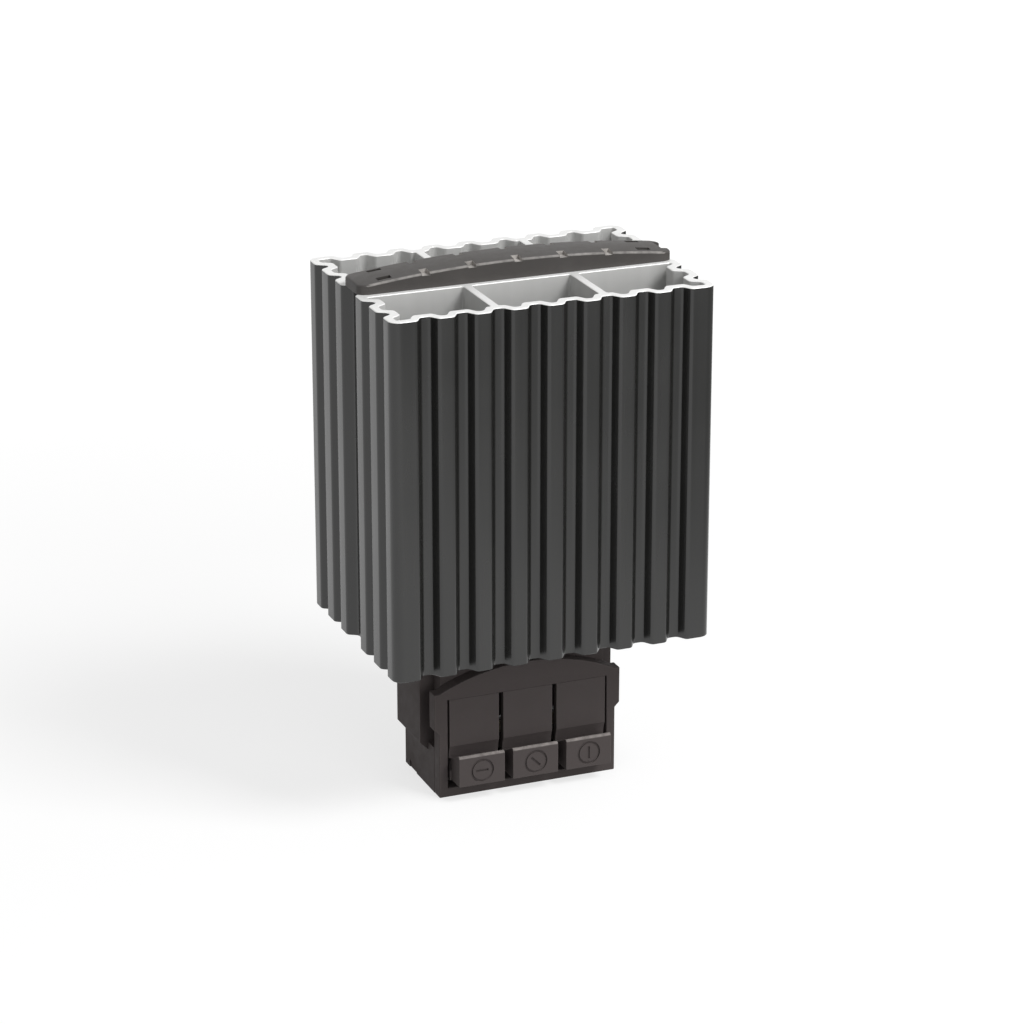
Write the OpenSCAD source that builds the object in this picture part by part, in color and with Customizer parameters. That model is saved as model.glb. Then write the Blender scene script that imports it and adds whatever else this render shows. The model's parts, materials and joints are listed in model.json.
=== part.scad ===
// Enclosure heater: a fluted aluminium extrusion that stands on a terminal housing.
// Millimetres, +Z up, front towards -Y. The origin is the middle of the housing's bottom face.

/* [Heatsink] */
// Width of the extrusion
sink_w = 70; // [64:1:90]
// Depth of the extrusion
sink_d = 50; // [46:1:70]
// Cut length of the extrusion
sink_h = 76; // [50:1:220]
// Depth of a flute
flute_depth = 2.1; // [1.2:0.1:2.8]
// Width of the flat floor of a flute
flute_floor = 1.7; // [1:0.1:2.6]
// Width of each flank of a flute
flute_flank = 1.2; // [0.8:0.1:1.5]
// Thickness of the outer wall
wall = 1.5; // [1.1:0.1:2]
// Thickness of the two webs beside the channel
web = 1.5; // [1:0.1:2.5]
// Thickness of a divider between two chambers
divider = 1.4; // [1:0.1:2.2]
// Width of the channel that holds the heating element
channel_w = 8; // [7:0.1:10]
// Width of the side lobe at each corner
corner_lobe = 6.8; // [6:0.1:7.6]
// Distance between the two side grooves of a block
side_pitch = 8.2; // [7.4:0.1:8.8]
// Width of the flat floor of the recess in the middle of each side
side_recess = 6; // [4:0.1:7]
// Radius of the outer corners
corner_r = 2.2; // [0.8:0.1:2.4]

/* [Top cap] */
// Height of the arch at its two ends
cap_edge = 1.4; // [1:0.1:3]
// Rise of the arch from its ends to its middle
cap_rise = 2.1; // [1.5:0.1:4]
// Height of the rounded back of the arch above its two long edges
cap_crown = 1.2; // [0.4:0.1:1.6]
// Depth of the cap's plug in the channel
cap_plug = 5; // [3:0.5:8]
// Overlap of the cap on each web
cap_seat = 0.8; // [0.3:0.1:1]
// Distance of the cap's ends from the extrusion's sides
cap_inset = 0.6; // [0.2:0.1:2]
// Width of the gap between the two tongues at each end of the cap
cap_gap = 3; // [2:0.1:4]
// Length of the tongues at the cap's ends
cap_tongue = 4; // [2:0.5:5]
// Distance between the notches along the cap's edges
notch_pitch = 10; // [8:0.5:10.5]
// Width of a notch
notch_w = 1.2; // [0.8:0.1:2]

/* [Terminal housing] */
// Width of the housing
house_w = 40; // [36:1:48]
// Depth of the housing
house_d = 20.4; // [20:0.2:26]
// Height of the housing
house_h = 34; // [32:1:44]
// Thickness of the front cover
cover_t = 3.1; // [2.8:0.1:3.6]
// Distance from the extrusion down to the ends of the cover's arch
cover_drop = 10.5; // [9:0.5:11]
// Rise of the arch on the cover's top edge
cover_rise = 4.6; // [1:0.1:5]
// Width of the stile at each side of the cover
stile = 1.95; // [1.6:0.05:2.6]
// Height of the bottom rail of the cover
rail = 2; // [0.8:0.1:2.4]
// How far the side pads stand out
pad = 1.8; // [1:0.1:2.4]
// Height of the side pads' lower edge
pad_bottom = 10.3; // [7:0.1:14]
// Thickness of the housing's floor
floor_t = 4; // [3:0.1:5]
// Diameter of a wire entry
entry_d = 4.6; // [3.6:0.1:5]

/* [Press keys] */
// How far a key stands out of the cover
key_out = 4.4; // [3:0.1:6]
// Height of a key
key_h = 6.8; // [6:0.1:8]
// Height of a key's lower edge above the housing's bottom
key_bottom = 3.8; // [2.6:0.1:4.4]
// Depth of the finger grip behind a key's top edge
key_grip = 2; // [1:0.1:2.6]
// Thickness of the tongue that carries a key
tongue_t = 1.8; // [1.4:0.1:2.2]
// Gap between two tongues
tongue_gap = 1; // [0.6:0.1:1.6]
// How far a key swings in, in degrees
key_swing = 6; // [3:0.5:6]

/* [Heating element] */
// Thickness of the heating stones
stone_t = 2.4; // [1.8:0.1:3]
// Thickness of an electrode
electrode_t = 0.6; // [0.4:0.1:0.8]
// Wall of the insulation sleeve
sleeve_t = 0.5; // [0.3:0.1:0.7]
// Distance of the element from each end of the channel
element_end = 6; // [3:0.5:8]
// Thickness of a current bar
bar_t = 1; // [0.6:0.1:1.2]
// Thickness of a clamp spring
spring_t = 0.5; // [0.3:0.1:0.7]

/* [Rail clip] */
// Height of the rail that the clip fits
rail_h = 35; // [35:0.5:40]
// Thickness of the rail's edge
rail_t = 1; // [1:0.1:1.5]
// Width of the clip
clip_w = 24; // [16:1:40]
// Thickness of the clip's sheet
clip_t = 1; // [0.6:0.1:1.4]
// How far each hook reaches behind the rail
clip_lip = 2.4; // [1.5:0.1:3]
// Distance between the clip's two rivets
rivet_pitch = 18; // [12:1:22]
// Diameter of a rivet's shank
rivet_d = 2.4; // [1.8:0.1:2.8]

/* [Hidden] */

$fn = 48;
LEFT = -1;
MIDDLE = 0;
RIGHT = 1;
// Overshoot of a cut past the face that it opens
cut = 1;
// Gap round a piece that is slid or dropped into another
slip = 0.15;
// Gap round a piece that passes through a wall
clear = 0.3;

// Extrusion
chambers = 3;
lobes_per_chamber = 3;
lobes = chambers * lobes_per_chamber;
pitch = sink_w / lobes;
flank_steps = 4;
corner_steps = 4;
sink_top = house_h + sink_h;
// A flank set in by one wall moves sideways by this share of the wall, so that the wall stays even
flank_slope = PI / 2 * flute_depth / flute_flank;
flank_shift = (sqrt(1 + flank_slope * flank_slope) - 1) / flank_slope;
face_flutes = [for (i = [1 : lobes - 1]) [i * pitch - sink_w / 2, flute_floor]];
groove_outer = sink_d / 2 - corner_lobe;
groove_inner = groove_outer - side_pitch;
side_floor = flute_floor / 2;
side_flutes = [
    [-groove_outer, side_floor], [-groove_inner, side_floor], [0, side_recess],
    [groove_inner, side_floor], [groove_outer, side_floor],
];
channel_l = sink_w - 2 * (flute_depth + wall);

// Cap
cap_l = sink_w - 2 * cap_inset;
cap_w = channel_w + 2 * cap_seat;
cap_top = sink_top + cap_edge + cap_rise + cap_crown;
notches = 5;
notch_in = 0.8;
notch_depth = 0.9;
slit_l = 3;
slit_w = 0.8;
slit_depth = 1.2;
slit_rim = 0.3;
slit_inset = 4.5;

// Housing
front_y = -house_d / 2;
joint_y = front_y + cover_t;
rear_y = house_d / 2;
top_t = 3;
side_gap = 3.5;
side_gap_depth = 1.5;
wing = 1.05;
window_w = house_w - 2 * stile;
slit = 0.4;
pole_pitch = (window_w - 2 * slit + tongue_gap) / 3;
tongue_w = pole_pitch - tongue_gap;
chamber_wall = 1.7;
chamber_w = pole_pitch - chamber_wall;
rear_wall = 2.6;
chamber_rear = rear_y - rear_wall;
cover_h = house_h - cover_drop;
wing_h = 8;
wing_bottom = cover_h - wing_h;
head_rail = 1.5;
hinge_z = cover_h - head_rail;
lintel_drop = 1;
lintel_z = hinge_z - lintel_drop;
lintel_t = 2;
plug_h = 6;
plug_inset = 1;
plug_w = house_w - 2 * plug_inset;
funnel = 1;
latch_w = 4;
latch_y = rear_y - latch_w - rear_wall;
latch_h = 1.6;
latch_depth = 0.25;

// Keys
root_gap = 0.05;
key_side = 0.45;
key_w = tongue_w - 2 * key_side;
key_top = key_bottom + key_h;
key_ridge = 0.7;
key_chamfer = 0.4;
scoop_r = 6;
scoop_depth = 0.7;
nose_w = 4;
nose_h = 2.5;
nose_drop = 6.5;
// The tongue's back and the nose stop short of what lies behind them at the full swing
swing_room = tongue_t + (hinge_z - key_bottom) * sin(key_swing) - cover_t + clear;

// Clamps and element
bar_w = 7;
bar_foot = 1;
bar_bottom = floor_t + bar_foot;
shelf_drop = 2.5;
bar_shelf = house_h - top_t - shelf_drop;
earth_lug_y = channel_w / 2 - bar_t;
earth_top = house_h + plug_h - slip;
spring_w = 6;
spring_r = 4.2;
spring_bend = 0.8 * spring_r;
spring_drop = 13;
spring_turn = house_h - spring_drop;
spring_leg = 12;
spring_toe_z = spring_turn - spring_leg;
spring_back = chamber_rear - bar_t - spring_t / 2;
spring_front = spring_back - 2 * spring_r;
toe_gap = 1.6;
toe_slant = 4;
entry_gap = 1.2;
entry_y = spring_back - spring_t / 2 - entry_gap - entry_d / 2;
nose_tip = spring_front - spring_t / 2 - clear - (nose_drop + nose_h) * sin(key_swing);
tab_w = 5;
tab_bottom = bar_shelf + bar_t;
lug_top = house_h - top_t - slip;
element_w = channel_l - 2 * element_end;
element_z = house_h + plug_h;
element_h = sink_h - plug_h - cap_plug - clear;
stack_t = stone_t + 2 * electrode_t;
stack_y = -channel_w / 2 + sleeve_t;
front_tab_y = stack_y + electrode_t;
rear_tab_y = stack_y + stack_t;
stone_columns = 3;
stone_rows = 2;
frame_bar = 2;

// Clip
clip_z = house_h + sink_h / 2;
clip_y = sink_d / 2;
hook_z = rail_h / 2 + clear + clip_t / 2;
hook_y = clip_y + clip_t + rail_t + 2 * slip + clip_t / 2;
flare = 1.4;
bend_steps = 4;
rivet_hole = rivet_d + slip;
rivet_head_d = 2 * rivet_d;
rivet_head_h = 0.8;
// The tail spans the hollow of a lobe and bears on the wall at both sides of it
rivet_tail_d = pitch - flute_floor;
rivet_grip = wall + flute_depth;

// Smooth step from 0 to 1
function ease(t) = (1 - cos(180 * t)) / 2;

// Points of one flute along an edge: [place along the edge, depth below it]
function flute(place, floor_w, inset) =
    let (half = floor_w / 2 + flank_shift * inset)
    [for (side = [-1, 1], k = [0 : flank_steps])
        let (up = side < 0 ? 1 - k / flank_steps : k / flank_steps)
        [place + side * (half + flute_flank * up), inset + flute_depth * ease(1 - up)]];

function edge(flutes, inset) = [for (f = flutes) each flute(f[0], f[1], inset)];

function corner(x, y, turn, inset) =
    let (r = max(corner_r - inset, slip))
    [for (k = [0 : corner_steps])
        let (a = turn + 90 * k / corner_steps)
        [x * (sink_w / 2 - inset - r) + r * cos(a), y * (sink_d / 2 - inset - r) + r * sin(a)]];

// Outline of the extrusion, set in by a distance
function outline(inset) = concat(
    corner(-1, -1, 180, inset),
    [for (p = edge(face_flutes, inset)) [p[0], p[1] - sink_d / 2]],
    corner(1, -1, 270, inset),
    [for (p = edge(side_flutes, inset)) [sink_w / 2 - p[1], p[0]]],
    corner(1, 1, 0, inset),
    [for (p = edge(face_flutes, inset)) [-p[0], sink_d / 2 - p[1]]],
    corner(-1, 1, 90, inset),
    [for (p = edge(side_flutes, inset)) [p[1] - sink_w / 2, -p[0]]]
);

// A folded strip: a centre line with rounded bends, given a thickness
function unit(v) = v / norm(v);
function left_of(v) = [-v[1], v[0]];
function bend(p, i, r) =
    let (
        u = unit(p[i - 1] - p[i]),
        v = unit(p[i + 1] - p[i]),
        half = acos(u * v) / 2,
        centre = p[i] + unit(u + v) * r / sin(half),
        from = (p[i] + u * r / tan(half) - centre) / sin(180 - 2 * half),
        to = (p[i] + v * r / tan(half) - centre) / sin(180 - 2 * half)
    )
    [for (k = [0 : bend_steps])
        let (a = (180 - 2 * half) * k / bend_steps)
        centre + from * sin(180 - 2 * half - a) + to * sin(a)];
function bent_path(p, r) = concat(
    [p[0]], [for (i = [1 : 1 : len(p) - 2]) each bend(p, i, r)], [p[len(p) - 1]]
);
function mitre(q, i, h) =
    let (
        last = len(q) - 1,
        a = left_of(unit(q[max(i, 1)] - q[max(i, 1) - 1])),
        b = left_of(unit(q[min(i, last - 1) + 1] - q[min(i, last - 1)])),
        m = unit(a + b)
    )
    q[i] + m * h / (m * a);
function strip(q, t) = concat(
    [for (i = [0 : len(q) - 1]) mitre(q, i, t / 2)],
    [for (i = [len(q) - 1 : -1 : 0]) mitre(q, i, -t / 2)]
);

// Radius of an arch over a chord
function arch_r(chord, rise) = (chord * chord / 4 + rise * rise) / (2 * rise);

// Height of the cap's long edges at a distance from its middle
function cap_z(x) =
    let (r = arch_r(cap_l, cap_rise))
    cap_top - cap_crown - r + sqrt(r * r - x * x);

// Extrudes a Y-Z profile along X, centred
module along_x(w) {
    rotate([90, 0, 90]) translate([0, 0, -w / 2]) linear_extrude(w) children();
}

// Extrudes an X-Z profile from y0 to y1
module along_y(y0, y1) {
    translate([0, y1, 0]) rotate([90, 0, 0]) linear_extrude(y1 - y0) children();
}

module folded(path, t, w, r) {
    along_x(w) polygon(strip(bent_path(path, r), t));
}

// Box given by its middle in X and by its limits in Y and Z
module block(x, w, y, z) {
    translate([x - w / 2, y[0], z[0]]) cube([w, y[1] - y[0], z[1] - z[0]]);
}

module both_sides() {
    children();
    mirror([1, 0, 0]) children();
}

module at_rivets() {
    for (s = [-1, 1])
        translate([0, clip_y, clip_z + s * rivet_pitch / 2]) rotate([-90, 0, 0]) children();
}

// Region under an arch: a rectangle whose top edge is an arc
module arched(w, edge_h, rise) {
    r = arch_r(w, rise);
    intersection() {
        translate([-w / 2, 0]) square([w, edge_h + rise]);
        translate([0, edge_h + rise - r]) circle(r, $fn = 96);
    }
}

// The chambers in front of and behind the channel
module chamber_profile() {
    inner = channel_w / 2 + web;
    intersection() {
        polygon(outline(wall));
        for (s = [0, 1])
            mirror([0, s]) translate([-sink_w / 2, inner]) square([sink_w, sink_d / 2 - inner]);
    }
}

module divider_profile() {
    for (i = [1 : chambers - 1])
        translate([i * sink_w / chambers - sink_w / 2, 0]) square([divider, sink_d], center = true);
}

module heatsink() color("#3b3c3a") {
    difference() {
        translate([0, 0, house_h]) linear_extrude(sink_h) difference() {
            polygon(outline(0));
            difference() {
                chamber_profile();
                divider_profile();
            }
            square([channel_l, channel_w], center = true);
        }
        at_rivets() translate([0, 0, -rivet_grip]) cylinder(d = rivet_hole, h = rivet_grip + cut);
    }
}

// Arched bar whose back is rounded from one long edge to the other
module crowned_arch() {
    edge_r = arch_r(cap_l, cap_rise);
    crown_r = arch_r(cap_w, cap_crown);
    intersection() {
        block(0, cap_l, [-cap_w / 2, cap_w / 2], [sink_top, cap_top]);
        translate([0, 0, cap_top - cap_crown - edge_r]) rotate([90, 0, 0]) rotate_extrude($fn = 360)
            intersection() {
                translate([0, -cap_w / 2]) square([edge_r + cap_crown, cap_w]);
                translate([edge_r + cap_crown - crown_r, 0]) circle(crown_r);
            }
    }
}

// Cap over the channel: an arched bar on a plug, with a gap in each end and notches along its edges
module top_cap() color("#4a4441") {
    slit_x = cap_l / 2 - slit_inset - slit_l / 2;
    difference() {
        union() {
            crowned_arch();
            block(
                0, channel_l - 2 * slip,
                [slip - channel_w / 2, channel_w / 2 - slip],
                [sink_top - cap_plug, sink_top + cap_edge / 2]
            );
        }
        both_sides() block(
            cap_l / 2, 2 * cap_tongue,
            [-cap_gap / 2, cap_gap / 2],
            [sink_top, cap_top]
        );
        for (s = [0, 1]) mirror([0, s, 0]) {
            for (i = [0 : notches - 1]) {
                x = (i - (notches - 1) / 2) * notch_pitch;
                block(x, notch_w, [cap_w / 2 - notch_in, cap_w], [cap_z(x) - notch_depth, cap_top + cut]);
            }
            both_sides() block(
                slit_x, slit_l,
                [cap_w / 2 - slit_rim - slit_w, cap_w / 2 - slit_rim],
                [cap_z(slit_x) - slit_depth, cap_top]
            );
        }
    }
}

module terminal_base() color("#423d3b") {
    difference() {
        union() {
            block(0, house_w, [joint_y, rear_y], [0, house_h]);
            both_sides() along_y(joint_y + side_gap, rear_y) polygon([
                [house_w / 2 - cut, pad_bottom - pad - cut],
                [house_w / 2 + pad, pad_bottom],
                [house_w / 2 + pad, house_h],
                [house_w / 2 - cut, house_h],
            ]);
            block(
                0, plug_w,
                [slip - channel_w / 2, channel_w / 2 - slip],
                [house_h - top_t, house_h + plug_h]
            );
        }
        // Room for the keys to swing in, and the three chambers behind them
        block(0, window_w, [joint_y - cut, joint_y + swing_room], [rail, hinge_z]);
        for (pole = [LEFT, MIDDLE, RIGHT]) {
            x = pole * pole_pitch;
            block(x, chamber_w, [joint_y - cut, chamber_rear], [floor_t, lintel_z]);
            block(x, chamber_w, [joint_y + lintel_t, chamber_rear], [floor_t, house_h - top_t]);
            translate([x, entry_y, -cut]) {
                cylinder(d = entry_d, h = floor_t + 2 * cut);
                cylinder(d1 = entry_d + 2 * (funnel + cut), d2 = entry_d, h = funnel + cut);
            }
        }
        tab_slot(LEFT, front_tab_y);
        tab_slot(RIGHT, rear_tab_y);
        // The earth bar passes up between the plug and the web
        block(
            0, bar_w + 2 * clear,
            [earth_lug_y - clear, channel_w / 2 + slip],
            [house_h - top_t - cut, house_h + plug_h + cut]
        );
        both_sides() {
            block(
                house_w / 2, 2 * side_gap_depth,
                [joint_y - cut, joint_y + side_gap],
                [pad_bottom, house_h + cut]
            );
            block(house_w / 2, 2 * latch_depth, [latch_y, latch_y + latch_w], [-cut, latch_h]);
        }
    }
}

// Slot through the housing's top and plug for an electrode's tab, whose rear face is at y
module tab_slot(pole, y) {
    block(
        pole * pole_pitch, tab_w + 2 * clear,
        [y - electrode_t - slip, y + slip],
        [house_h - top_t - cut, house_h + plug_h + cut]
    );
}

module terminal_cover() color("#4a4543") {
    difference() {
        union() {
            along_y(front_y, joint_y) arched(house_w, cover_h, cover_rise);
            both_sides() along_y(front_y, joint_y) polygon([
                [house_w / 2 - cut, wing_bottom - wing - cut],
                [house_w / 2 + wing, wing_bottom],
                [house_w / 2 + wing, cover_h],
                [house_w / 2 - cut, cover_h],
            ]);
        }
        block(0, window_w, [front_y - cut, joint_y + cut], [rail, hinge_z]);
    }
}

// Press key on its tongue, hinged at the tongue's top edge on the cover's front face
module clamp_key(pole) color("#4d4846") {
    back_y = front_y + tongue_t;
    key_y = front_y - key_out;
    translate([pole * pole_pitch, 0, 0]) {
        along_x(tongue_w) difference() {
            polygon([
                [front_y, hinge_z - root_gap],
                [front_y, key_bottom],
                [back_y, key_bottom],
                [back_y, hinge_z - root_gap - tongue_t * tan(2 * key_swing)],
            ]);
            translate([front_y - scoop_r + scoop_depth, key_top - key_grip]) circle(scoop_r);
        }
        along_x(key_w) polygon([
            [back_y - scoop_depth, key_bottom],
            [back_y - scoop_depth, key_top - key_grip],
            [front_y, key_top - key_grip],
            [key_y + key_ridge, key_top],
            [key_y + key_chamfer, key_top],
            [key_y, key_top - key_chamfer],
            [key_y, key_bottom],
        ]);
        // Nose that reaches in to the clamp spring
        block(
            0, nose_w,
            [back_y - tongue_t / 4, nose_tip],
            [hinge_z - nose_drop - nose_h, hinge_z - nose_drop]
        );
    }
}

// Leaf spring folded over at the top, with a toe that slants down towards the current bar
module clamp_spring(pole) color("#b9bcc0") {
    translate([pole * pole_pitch, 0, 0]) folded(
        [
            [spring_back, spring_toe_z],
            [spring_back, spring_turn + spring_r],
            [spring_front, spring_turn + spring_r],
            [spring_front, spring_toe_z + toe_slant],
            [spring_back - toe_gap, spring_toe_z],
        ],
        spring_t, spring_w, spring_bend
    );
}

// Folded strip behind the spring, with a shelf forward to its lug; lug_y is the lug's front face
module current_bar(pole, lug_y, top) color("#c58a4a") {
    back = chamber_rear - bar_t / 2;
    translate([pole * pole_pitch, 0, 0]) folded(
        [
            [back, bar_bottom],
            [back, bar_shelf],
            [lug_y + bar_t / 2, bar_shelf],
            [lug_y + bar_t / 2, top],
        ],
        bar_t, bar_w, bar_t
    );
}

// Contact plate with a tab down to its current bar; y is the plate's rear face
module electrode(pole, y) color("#c9ccd0") {
    block(0, element_w, [y - electrode_t, y], [element_z, element_z + element_h]);
    block(pole * pole_pitch, tab_w, [y - electrode_t, y], [tab_bottom, element_z]);
}

// Stones or their windows: y is their two faces, gap their distance from the frame's bars
module stone_grid(y, gap) {
    cell_w = (element_w - frame_bar) / stone_columns;
    cell_h = (element_h - frame_bar) / stone_rows;
    for (i = [0 : stone_columns - 1], k = [0 : stone_rows - 1])
        block(
            (i - (stone_columns - 1) / 2) * cell_w, cell_w - frame_bar - 2 * gap,
            y,
            [element_z + frame_bar + k * cell_h + gap, element_z + (k + 1) * cell_h - gap]
        );
}

module ptc_stones() color("#6b6460") {
    stone_grid([front_tab_y, front_tab_y + stone_t], slip);
}

module element_frame() color("#e5e1d6") {
    difference() {
        block(0, element_w, [front_tab_y, front_tab_y + stone_t], [element_z, element_z + element_h]);
        stone_grid([front_tab_y - cut, front_tab_y + stone_t + cut], 0);
    }
}

module insulation_sleeve() color("#c98f2e") {
    difference() {
        block(
            0, element_w + 2 * sleeve_t,
            [stack_y - sleeve_t, stack_y + stack_t + sleeve_t],
            [element_z, element_z + element_h]
        );
        block(0, element_w, [stack_y, stack_y + stack_t], [element_z - cut, element_z + element_h + cut]);
    }
}

module pressure_bar() color("#b4b6b8") {
    block(
        0, element_w + 2 * sleeve_t,
        [stack_y + stack_t + sleeve_t, channel_w / 2 - slip],
        [element_z, element_z + element_h]
    );
}

module din_clip() color("#a9acae") {
    difference() {
        folded(
            [
                [hook_y, clip_z + hook_z - clip_t / 2 - clip_lip],
                [hook_y, clip_z + hook_z],
                [clip_y + clip_t / 2, clip_z + hook_z],
                [clip_y + clip_t / 2, clip_z - hook_z],
                [hook_y, clip_z - hook_z],
                [hook_y, clip_z - hook_z + clip_t / 2 + clip_lip - flare],
                [hook_y + flare, clip_z - hook_z + clip_t / 2 + clip_lip],
            ],
            clip_t, clip_w, clip_t
        );
        at_rivets() translate([0, 0, -cut]) cylinder(d = rivet_hole, h = clip_t + 2 * cut);
    }
}

module clip_rivets() color("#8f9294") {
    at_rivets() {
        translate([0, 0, -rivet_grip]) cylinder(d = rivet_d, h = rivet_grip + clip_t);
        translate([0, 0, clip_t]) cylinder(d1 = rivet_head_d, d2 = rivet_d, h = rivet_head_h);
        translate([0, 0, -rivet_grip - rivet_head_h]) cylinder(d = rivet_tail_d, h = rivet_head_h);
    }
}

heatsink();
top_cap();
terminal_base();
terminal_cover();
clamp_key(LEFT);  // clamp_key_left
clamp_key(MIDDLE);  // clamp_key_middle
clamp_key(RIGHT);  // clamp_key_right
clamp_spring(LEFT);  // clamp_spring_left
clamp_spring(MIDDLE);  // clamp_spring_middle
clamp_spring(RIGHT);  // clamp_spring_right
current_bar(LEFT, front_tab_y, lug_top);  // current_bar_left
current_bar(MIDDLE, earth_lug_y, earth_top);  // current_bar_middle
current_bar(RIGHT, rear_tab_y, lug_top);  // current_bar_right
electrode(LEFT, front_tab_y);  // electrode_front
electrode(RIGHT, rear_tab_y);  // electrode_rear
ptc_stones();
element_frame();
insulation_sleeve();
pressure_bar();
din_clip();
clip_rivets();
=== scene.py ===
"""Looks of an enclosure heater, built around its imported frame.

The fluted extrusion and the arched cap are modelled here. The housing, its keys and the rail clip are taken
from the frame's solids and given rounded edges. Lengths are written in millimetres and made metres by MM.
"""
import json
import logging
import math
from collections.abc import Callable, Iterable, Sequence
from dataclasses import dataclass, field
from enum import Enum

import bmesh
import bpy
from bmesh.types import BMEdge, BMesh, BMFace, BMVert
from mathutils import Matrix, Vector


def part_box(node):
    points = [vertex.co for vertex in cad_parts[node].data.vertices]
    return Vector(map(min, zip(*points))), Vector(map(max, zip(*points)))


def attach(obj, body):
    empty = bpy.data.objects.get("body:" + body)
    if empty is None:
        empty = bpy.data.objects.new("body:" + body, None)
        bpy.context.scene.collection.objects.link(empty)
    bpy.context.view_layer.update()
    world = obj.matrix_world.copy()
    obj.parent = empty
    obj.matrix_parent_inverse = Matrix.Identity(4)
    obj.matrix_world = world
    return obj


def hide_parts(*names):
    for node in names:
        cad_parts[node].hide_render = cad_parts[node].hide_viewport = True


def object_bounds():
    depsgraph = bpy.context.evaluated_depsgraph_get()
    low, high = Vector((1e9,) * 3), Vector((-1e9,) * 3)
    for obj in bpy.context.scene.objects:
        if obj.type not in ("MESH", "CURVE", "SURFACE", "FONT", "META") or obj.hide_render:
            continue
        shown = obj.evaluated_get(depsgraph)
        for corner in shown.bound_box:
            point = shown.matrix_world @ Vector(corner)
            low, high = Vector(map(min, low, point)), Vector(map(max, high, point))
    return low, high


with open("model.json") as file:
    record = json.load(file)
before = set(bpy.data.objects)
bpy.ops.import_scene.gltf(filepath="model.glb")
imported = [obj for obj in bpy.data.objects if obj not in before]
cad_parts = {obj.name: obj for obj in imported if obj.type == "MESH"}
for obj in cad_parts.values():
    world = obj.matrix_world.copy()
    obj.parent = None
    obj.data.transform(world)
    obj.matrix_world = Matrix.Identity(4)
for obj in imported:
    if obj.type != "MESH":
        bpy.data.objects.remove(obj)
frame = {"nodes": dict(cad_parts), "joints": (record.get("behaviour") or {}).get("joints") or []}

MM = 0.001
CAD_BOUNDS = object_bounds()
# Name of the layer that marks edge wear and painted highlights
WEAR_AND_HIGHLIGHT = "wear_and_highlight"
MAIN_BODY = "heater"
LOG = logging.getLogger("heater")

# Points nearer to each other than this, in metres, are one
MERGE = 1e-6
# How far a cut reaches past the piece that it opens
OVERSHOOT = 1.0
# Shading is smooth across edges up to this angle
SMOOTH = math.radians(32)
# A face whose normal rises by more than this lies flat, and one whose normal rises by less stands upright
FLAT = 0.5

Colour = tuple[float, float, float]
Place = tuple[float, float, float]
Point = tuple[float, float]
Span = tuple[float, float]

WHITE: Colour = (1.0, 1.0, 1.0)


class Texture(Enum):
    """How a surface was made, which sets the fine marks that it carries."""

    MOULDED = "moulded_grain"
    DRAWN = "drawn_lines"
    SAWN = "sawn_lines"
    ROLLED = "rolled_lines"


class Surface(Enum):
    """The extrusion's surfaces, by the place of their finish."""

    SKIN = 0
    CUT = 1
    BARE = 2


class Pole(Enum):
    """The three poles of the terminal, by their place from left to right."""

    LEFT = "left"
    MIDDLE = "middle"
    RIGHT = "right"


class Combine(Enum):
    """How two solids become one."""

    CUT = "DIFFERENCE"
    JOIN = "UNION"


class NodeSketch:
    """Places and wires the nodes of one node tree."""

    # Places of the colour sockets among a Mix node's inputs and outputs
    MIX_INPUTS = (6, 7)
    MIX_OUTPUT = 2

    def __init__(self, tree: bpy.types.NodeTree) -> None:
        """Starts with an empty tree."""
        self.tree = tree
        tree.nodes.clear()

    def set(self, socket: bpy.types.NodeSocket, value: object) -> None:
        """Links a socket to another one, or sets its constant.

        Args:
            socket: the input to fill.
            value: another node's output, or a constant.
        """
        if isinstance(value, bpy.types.NodeSocket):
            self.tree.links.new(value, socket)
        else:
            socket.default_value = value

    def add(self, kind: str, inputs: dict | None = None, **settings: object) -> bpy.types.Node:
        """Adds a node.

        Args:
            kind: the node's type, without the ShaderNode prefix.
            inputs: values or sockets for its inputs, by name or index.
            settings: properties of the node itself.

        Returns:
            The new node.
        """
        node = self.tree.nodes.new(kind if kind.startswith("NodeGroup") else "ShaderNode" + kind)
        for name, value in settings.items():
            setattr(node, name, value)
        for name, value in (inputs or {}).items():
            self.set(node.inputs[name], value)
        return node

    def math(self, operation: str, first: object, second: object = 0.0) -> bpy.types.NodeSocket:
        """Adds a Math node and returns its result."""
        return self.add("Math", {0: first, 1: second}, operation=operation).outputs[0]

    def ramp(self, value: object, low: float, high: float, start: float, end: float) -> bpy.types.NodeSocket:
        """Maps a value from one range to another, clamped, and returns the result."""
        inputs = {"Value": value, "From Min": low, "From Max": high, "To Min": start, "To Max": end}
        return self.add("MapRange", inputs).outputs["Result"]

    def blend(self, factor: object, first: object, second: object) -> bpy.types.NodeSocket:
        """Mixes two colours.

        Args:
            factor: share of the second colour.
            first: a colour, or a socket that gives one.
            second: a colour, or a socket that gives one.

        Returns:
            The socket of the mixed colour.
        """
        node = self.add("Mix", {0: factor}, data_type="RGBA")
        for index, colour in zip(self.MIX_INPUTS, (first, second)):
            self.set(node.inputs[index], colour)
        return node.outputs[self.MIX_OUTPUT]


def rgba(colour: Colour) -> tuple[float, float, float, float]:
    """Adds full opacity to a colour."""
    return (*colour, 1.0)


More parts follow.
